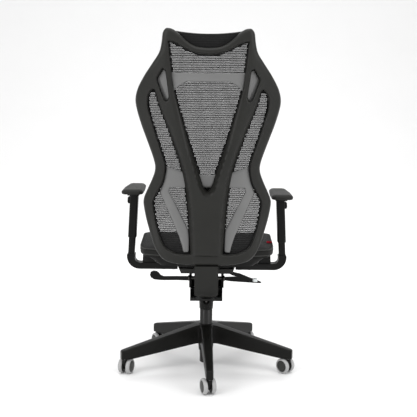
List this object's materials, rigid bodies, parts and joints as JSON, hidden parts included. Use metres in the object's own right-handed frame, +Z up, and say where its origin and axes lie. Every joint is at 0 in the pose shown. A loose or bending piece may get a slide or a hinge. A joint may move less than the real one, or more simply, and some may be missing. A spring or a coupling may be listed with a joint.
{
  "type": "gaming chair",
  "caption": "High-back mesh gaming chair: V-spine back frame, reclining back, sliding seat, height-adjustable arms, gas column and five-leg caster base.",
  "frame": {"origin": "on the floor, under the axis of the gas column", "axes": "+Z up, the sitter faces -Y, +X is the sitter's left"},
  "size_m": [0.6886, 0.6869, 1.311],
  "materials": {
    "base_nylon": "satin black glass-filled nylon",
    "frame_plastic": "fine-grained dark grey moulding",
    "grey_plastic": "smooth mid-grey moulding",
    "mech_paint": "black powder coat",
    "steel": "zinc plated",
    "lever_plastic": "black",
    "clear_plastic": "frosted clear",
    "seat_fabric": "black woven sandwich mesh",
    "mesh_fabric": "black elastic mesh with horizontal tapes",
    "pad_pu": "soft moulded polyurethane",
    "caster_tread": "light grey soft tread",
    "caster_nylon": "black nylon"
  },
  "bodies": {
    "base": {"star_base": "base_nylon", "column_tube": "base_nylon", "tube_bush": "grey_plastic"},
    "piston": {"piston_rod": "steel", "thrust_bearing": "steel"},
    "chassis": {"gas_cylinder": "mech_paint", "dust_shroud": "base_nylon", "mech_housing": "mech_paint", "pivot_shafts": "steel", "recline_spring": "steel"},
    "tension_knob": {"tension_knob": "lever_plastic"},
    "lift_lever": {"lift_lever": "lever_plastic"},
    "tilt_lever": {"tilt_lever": "lever_plastic"},
    "carriage": {"slide_carriage": "frame_plastic"},
    "slide_lever": {"slide_lever": "lever_plastic", "slide_lever_tip": "clear_plastic"},
    "seat": {"seat_pan": "frame_plastic", "seat_board": "seat_fabric", "seat_cushion": "seat_fabric", "pan_screws": "steel", "arm_bracket_left": "mech_paint", "arm_bracket_right": "mech_paint", "arm_upright_left": "mech_paint", "arm_upright_right": "mech_paint", "arm_bolts": "steel"},
    "arm_left": {"arm_sleeve_left": "lever_plastic", "pad_plate_left": "lever_plastic", "arm_pad_left": "pad_pu"},
    "button_left": {"arm_button_left": "lever_plastic"},
    "arm_right": {"arm_sleeve_right": "lever_plastic", "pad_plate_right": "lever_plastic", "arm_pad_right": "pad_pu"},
    "button_right": {"arm_button_right": "lever_plastic"},
    "back": {"back_frame": "frame_plastic", "back_stem": "frame_plastic", "stem_bolts": "steel", "lumbar_support": "grey_plastic", "shoulder_bar": "grey_plastic", "back_mesh": "mesh_fabric", "head_panel": "seat_fabric"},
    "caster_1": {"caster_fork_1": "caster_nylon", "caster_pins_1": "steel"},
    "wheel_1a": {"wheel_1a": "caster_tread"},
    "wheel_1b": {"wheel_1b": "caster_tread"},
    "caster_2": {"caster_fork_2": "caster_nylon", "caster_pins_2": "steel"},
    "wheel_2a": {"wheel_2a": "caster_tread"},
    "wheel_2b": {"wheel_2b": "caster_tread"},
    "caster_3": {"caster_fork_3": "caster_nylon", "caster_pins_3": "steel"},
    "wheel_3a": {"wheel_3a": "caster_tread"},
    "wheel_3b": {"wheel_3b": "caster_tread"},
    "caster_4": {"caster_fork_4": "caster_nylon", "caster_pins_4": "steel"},
    "wheel_4a": {"wheel_4a": "caster_tread"},
    "wheel_4b": {"wheel_4b": "caster_tread"},
    "caster_5": {"caster_fork_5": "caster_nylon", "caster_pins_5": "steel"},
    "wheel_5a": {"wheel_5a": "caster_tread"},
    "wheel_5b": {"wheel_5b": "caster_tread"}
  },
  "joints": [
    {"name": "seat_swivel", "type": "hinge", "parent": "base", "child": "piston", "pos_m": [0, 0, 0.025], "axis": [0, 0, 1], "continuous": true},
    {"name": "seat_lift", "type": "slide", "parent": "piston", "child": "chassis", "axis": [0, 0, 1], "range_m": [-0.03, 0.055]},
    {"name": "back_recline", "type": "hinge", "parent": "chassis", "child": "back", "pos_m": [0, 0.05, 0.37], "axis": [-1, 0, 0], "range_deg": [0, 20], "stiffness_Nm_per_rad": 100, "springref_deg": -28.65},
    {"name": "seat_tilt", "type": "hinge", "parent": "chassis", "child": "carriage", "pos_m": [0, -0.08, 0.395], "axis": [-1, 0, 0], "range_deg": [0, 8]},
    {"name": "seat_slide", "type": "slide", "parent": "carriage", "child": "seat", "axis": [0, -1, 0], "range_m": [0, 0.05]},
    {"name": "slide_lever_pull", "type": "hinge", "parent": "carriage", "child": "slide_lever", "pos_m": [-0.087, 0.085, 0.404], "axis": [0, 1, 0], "range_deg": [0, 12], "stiffness_Nm_per_rad": 1, "springref_deg": -11.46},
    {"name": "lift_lever_pull", "type": "hinge", "parent": "chassis", "child": "lift_lever", "pos_m": [-0.064, -0.006, 0.356], "axis": [0, 1, 0], "range_deg": [0, 6], "stiffness_Nm_per_rad": 2, "springref_deg": -11.46},
    {"name": "tilt_lever_turn", "type": "hinge", "parent": "chassis", "child": "tilt_lever", "pos_m": [0.06, -0.006, 0.356], "axis": [1, 0, 0], "range_deg": [0, 35]},
    {"name": "tension_turn", "type": "hinge", "parent": "chassis", "child": "tension_knob", "pos_m": [0, -0.088, 0.27], "axis": [0, 0, 1], "range_deg": [-360, 360]},
    {"name": "arm_height_left", "type": "slide", "parent": "seat", "child": "arm_left", "axis": [-0.0523, 0, 0.9986], "range_m": [-0.06, 0.02]},
    {"name": "arm_height_right", "type": "slide", "parent": "seat", "child": "arm_right", "axis": [0.0523, 0, 0.9986], "range_m": [-0.045, 0.035]},
    {"name": "arm_button_left_press", "type": "slide", "parent": "arm_left", "child": "button_left", "axis": [-0.9986, 0, -0.0523], "range_m": [0, 0.003], "stiffness_N_per_m": 400, "springref_m": -0.002},
    {"name": "arm_button_right_press", "type": "slide", "parent": "arm_right", "child": "button_right", "axis": [0.9986, 0, -0.0523], "range_m": [0, 0.003], "stiffness_N_per_m": 400, "springref_m": -0.002},
    {"name": "caster_1_swivel", "type": "hinge", "parent": "base", "child": "caster_1", "pos_m": [-0.01588, 0.33663, 0.06], "axis": [0, 0, 1], "continuous": true},
    {"name": "wheel_1a_spin", "type": "hinge", "parent": "caster_1", "child": "wheel_1a", "pos_m": [-0.01042, 0.32052, 0.03], "axis": [-0.9472, -0.3206, 0], "continuous": true},
    {"name": "wheel_1b_spin", "type": "hinge", "parent": "caster_1", "child": "wheel_1b", "pos_m": [-0.01042, 0.32052, 0.03], "axis": [-0.9472, -0.3206, 0], "continuous": true},
    {"name": "caster_2_swivel", "type": "hinge", "parent": "base", "child": "caster_2", "pos_m": [-0.32506, 0.08893, 0.06], "axis": [0, 0, 1], "continuous": true},
    {"name": "wheel_2a_spin", "type": "hinge", "parent": "caster_2", "child": "wheel_2a", "pos_m": [-0.3131, 0.07684, 0.03], "axis": [-0.7108, -0.7034, 0], "continuous": true},
    {"name": "wheel_2b_spin", "type": "hinge", "parent": "caster_2", "child": "wheel_2b", "pos_m": [-0.3131, 0.07684, 0.03], "axis": [-0.7108, -0.7034, 0], "continuous": true},
    {"name": "caster_3_swivel", "type": "hinge", "parent": "base", "child": "caster_3", "pos_m": [-0.18502, -0.28167, 0.06], "axis": [0, 0, 1], "continuous": true},
    {"name": "wheel_3a_spin", "type": "hinge", "parent": "caster_3", "child": "wheel_3a", "pos_m": [-0.1766, -0.29643, 0.03], "axis": [-0.8686, -0.4955, 0], "continuous": true},
    {"name": "wheel_3b_spin", "type": "hinge", "parent": "caster_3", "child": "wheel_3b", "pos_m": [-0.1766, -0.29643, 0.03], "axis": [-0.8686, -0.4955, 0], "continuous": true},
    {"name": "caster_4_swivel", "type": "hinge", "parent": "base", "child": "caster_4", "pos_m": [0.21071, -0.263, 0.06], "axis": [0, 0, 1], "continuous": true},
    {"name": "wheel_4a_spin", "type": "hinge", "parent": "caster_4", "child": "wheel_4a", "pos_m": [0.20228, -0.24824, 0.03], "axis": [0.8686, 0.4955, 0], "continuous": true},
    {"name": "wheel_4b_spin", "type": "hinge", "parent": "caster_4", "child": "wheel_4b", "pos_m": [0.20228, -0.24824, 0.03], "axis": [0.8686, 0.4955, 0], "continuous": true},
    {"name": "caster_5_swivel", "type": "hinge", "parent": "base", "child": "caster_5", "pos_m": [0.31524, 0.11912, 0.06], "axis": [0, 0, 1], "continuous": true},
    {"name": "wheel_5a_spin", "type": "hinge", "parent": "caster_5", "child": "wheel_5a", "pos_m": [0.30963, 0.10308, 0.03], "axis": [-0.9438, 0.3305, 0], "continuous": true},
    {"name": "wheel_5b_spin", "type": "hinge", "parent": "caster_5", "child": "wheel_5b", "pos_m": [0.30963, 0.10308, 0.03], "axis": [-0.9438, 0.3305, 0], "continuous": true}
  ],
  "couplings": [
    {"joint": "seat_tilt", "follows": "back_recline", "ratio": 0.4}
  ]
}
